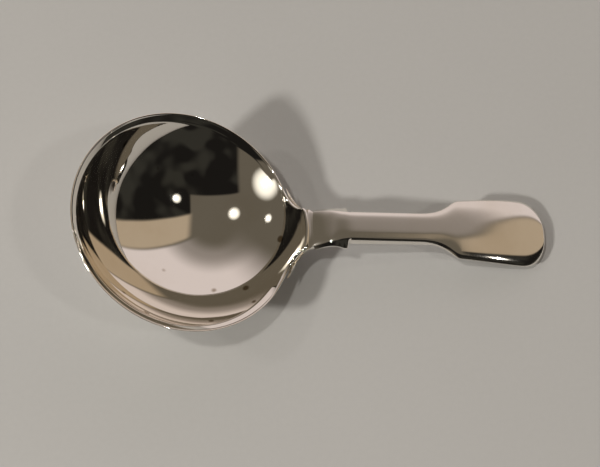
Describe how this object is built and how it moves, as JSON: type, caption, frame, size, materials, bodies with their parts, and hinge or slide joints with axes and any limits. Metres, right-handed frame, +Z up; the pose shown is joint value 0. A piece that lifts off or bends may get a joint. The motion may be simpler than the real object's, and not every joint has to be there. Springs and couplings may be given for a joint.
{
  "type": "caddy spoon",
  "caption": "Short silver spoon with a deep round bowl and a fiddle-shaped handle, for measuring loose tea out of a caddy.",
  "frame": {"origin": "on the table, below the middle of the spoon's box as it lies at rest", "axes": "+X along the spoon from the bowl to the tip of the handle, +Z up from the table, XZ the mirror plane"},
  "size_m": [0.0914, 0.045, 0.0238],
  "materials": {
    "bowl_silver": "polished silver, mirror bright with fine scratches",
    "handle_silver": "polished silver, mirror bright",
    "solder": "hard silver solder, buffed, a little greyer than the sheet"
  },
  "bodies": {
    "root": {"bowl": "bowl_silver", "handle": "handle_silver", "solder_seam": "solder"}
  },
  "joints": []
}
